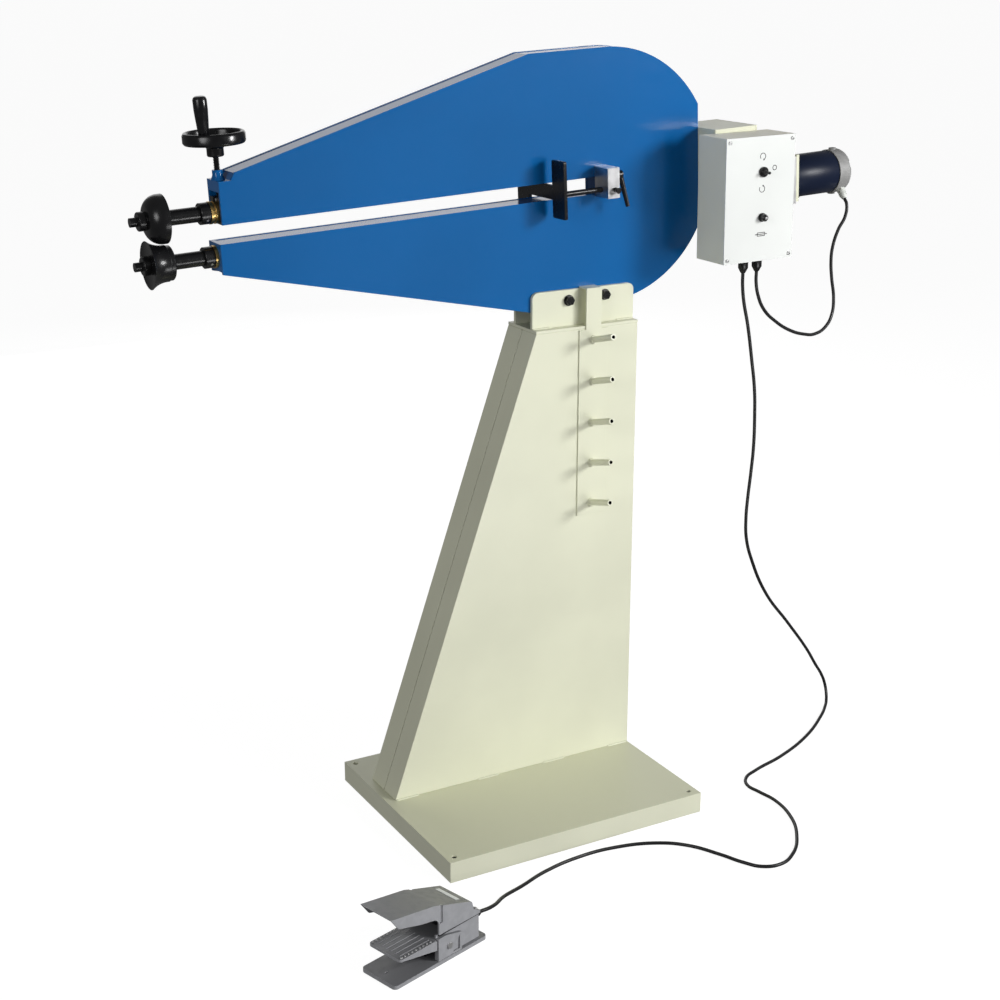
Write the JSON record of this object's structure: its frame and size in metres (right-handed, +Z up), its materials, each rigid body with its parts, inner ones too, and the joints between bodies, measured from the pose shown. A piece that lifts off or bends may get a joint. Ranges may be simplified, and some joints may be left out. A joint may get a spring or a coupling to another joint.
{
  "type": "electric bead roller",
  "caption": "Floor-standing motor-driven bead roller: deep teardrop throat frame on a tapered column, geared die shafts, handwheel die adjustment, control box and foot pedal.",
  "frame": {"origin": "on the floor, under the middle of the base tray", "axes": "+X along the throat from the dies to the motor, -Y towards the operator, +Z up"},
  "size_m": [1.7433, 0.8178, 1.6528],
  "materials": {
    "cream_paint": "semi-gloss",
    "blue_enamel": "gloss",
    "black_steel": "black oxide",
    "bronze": "machined",
    "plain_steel": "machined",
    "black_phenolic": "gloss",
    "navy_paint": "semi-gloss",
    "cast_aluminium": "cast",
    "pale_plastic": "matt",
    "grey_paint": "satin",
    "white_panel": "satin",
    "black_plastic": "matt",
    "bright_aluminium": "sawn",
    "grey_casting": "painted casting",
    "black_cord": "satin"
  },
  "bodies": {
    "stand": {"base_tray": "cream_paint", "column_near_shell": "cream_paint", "column_far_shell": "cream_paint", "head_saddle": "cream_paint", "die_rack": "cream_paint", "gear_case": "cream_paint", "gear_case_cover": "cream_paint", "motor_mount_plate": "cream_paint", "frame_plate_near": "blue_enamel", "frame_plate_far": "blue_enamel", "upper_rim_strip": "blue_enamel", "lower_rim_strip": "blue_enamel", "throat_liner": "blue_enamel", "rear_end_plate": "blue_enamel", "lower_nose_plate": "blue_enamel", "screw_boss": "blue_enamel", "head_bolts": "black_steel", "lower_front_bush": "bronze", "lower_rear_bearing": "bronze", "upper_bearing_housing": "plain_steel", "pedal_spring": "plain_steel", "pedal_pin": "plain_steel", "gear_reducer": "plain_steel", "motor_body": "navy_paint", "motor_end_bell": "cast_aluminium", "motor_gland": "pale_plastic", "control_box": "grey_paint", "control_panel": "white_panel", "panel_fittings": "black_plastic", "cord_glands": "black_plastic", "pedal_switch": "black_plastic", "gauge_block": "bright_aluminium", "pedal_base": "grey_casting", "pedal_hood": "grey_casting", "motor_cord": "black_cord", "pedal_cord": "black_cord"},
    "lower_spindle": {"lower_shaft": "black_steel", "lower_collar": "black_steel", "lower_die": "black_steel", "lower_die_nut": "black_steel", "lower_gear": "plain_steel"},
    "upper_carrier": {"upper_bearing_block": "black_steel", "upper_front_bush": "bronze", "upper_rear_insert": "plain_steel"},
    "upper_spindle": {"upper_shaft": "black_steel", "upper_collar": "black_steel", "upper_die": "black_steel", "upper_die_nut": "black_steel", "upper_gear": "plain_steel"},
    "screw_foot": {"thrust_pad": "plain_steel"},
    "screw_wheel": {"adjusting_screw": "black_steel", "handwheel": "black_phenolic"},
    "grip": {"handwheel_grip": "black_phenolic"},
    "toggle": {"toggle_lever": "black_plastic"},
    "fuse": {"fuse_cap": "black_plastic"},
    "gauge_stop": {"gauge_rod": "black_steel", "gauge_fence": "black_steel"},
    "gauge_clamp": {"clamp_lever": "black_steel"},
    "gauge_lock": {"lock_screw": "black_steel"},
    "treadle": {"pedal_treadle": "grey_casting"}
  },
  "joints": [
    {"name": "drive_spin", "type": "hinge", "parent": "stand", "child": "lower_spindle", "pos_m": [-0.00883, 0.096, 1.31055], "axis": [0.9989, 0, 0.0471], "continuous": true},
    {"name": "upper_lift", "type": "hinge", "parent": "stand", "child": "upper_carrier", "pos_m": [0.57651, 0.096, 1.42325], "axis": [0, 1, 0], "range_deg": [0, 0.485]},
    {"name": "upper_spin", "type": "hinge", "parent": "upper_carrier", "child": "upper_spindle", "pos_m": [-0.01283, 0.096, 1.39546], "axis": [0.9989, 0, 0.0471], "continuous": true},
    {"name": "screw_feed", "type": "slide", "parent": "stand", "child": "screw_foot", "axis": [-0.0471, 0, 0.9989], "range_m": [0, 0.01]},
    {"name": "handwheel_turn", "type": "hinge", "parent": "screw_foot", "child": "screw_wheel", "pos_m": [-0.61604, 0.096, 1.42808], "axis": [-0.0471, 0, 0.9989], "range_deg": [0, 1201]},
    {"name": "grip_spin", "type": "hinge", "parent": "screw_wheel", "child": "grip", "pos_m": [-0.64801, 0.0694, 1.50066], "axis": [-0.0853, -0.0357, 0.9957], "continuous": true},
    {"name": "toggle_flip", "type": "hinge", "parent": "stand", "child": "toggle", "pos_m": [0.53899, -0.1, 1.39311], "axis": [0.9998, 0, 0.0175], "range_deg": [-12, 12]},
    {"name": "fuse_cap_turn", "type": "hinge", "parent": "stand", "child": "fuse", "pos_m": [0.54068, -0.103, 1.29613], "axis": [0, 1, 0], "range_deg": [0, 90]},
    {"name": "gauge_slide", "type": "slide", "parent": "stand", "child": "gauge_stop", "axis": [0.9989, 0, 0.0471], "range_m": [-0.025, 0.06]},
    {"name": "clamp_lever_turn", "type": "hinge", "parent": "stand", "child": "gauge_clamp", "pos_m": [0.24564, 0.024, 1.39163], "axis": [0.9989, 0, 0.0471], "range_deg": [-75, 0]},
    {"name": "lock_screw_turn", "type": "hinge", "parent": "stand", "child": "gauge_lock", "pos_m": [0.23706, 0.012, 1.36119], "axis": [0, -1, 0], "range_deg": [0, 180]},
    {"name": "treadle_press", "type": "hinge", "parent": "stand", "child": "treadle", "pos_m": [-0.46122, -0.46718, 0.031], "axis": [0.2924, -0.9563, 0], "range_deg": [0, 8], "stiffness_Nm_per_rad": 2, "springref_deg": -17.19, "deforming": ["pedal_spring"]}
  ],
  "couplings": [
    {"joint": "upper_spin", "follows": "drive_spin", "ratio": -1},
    {"joint": "handwheel_turn", "follows": "screw_feed", "rad_per_m": 2094.4},
    {"joint": "upper_lift", "follows": "screw_feed", "rad_per_m": 0.83963}
  ]
}
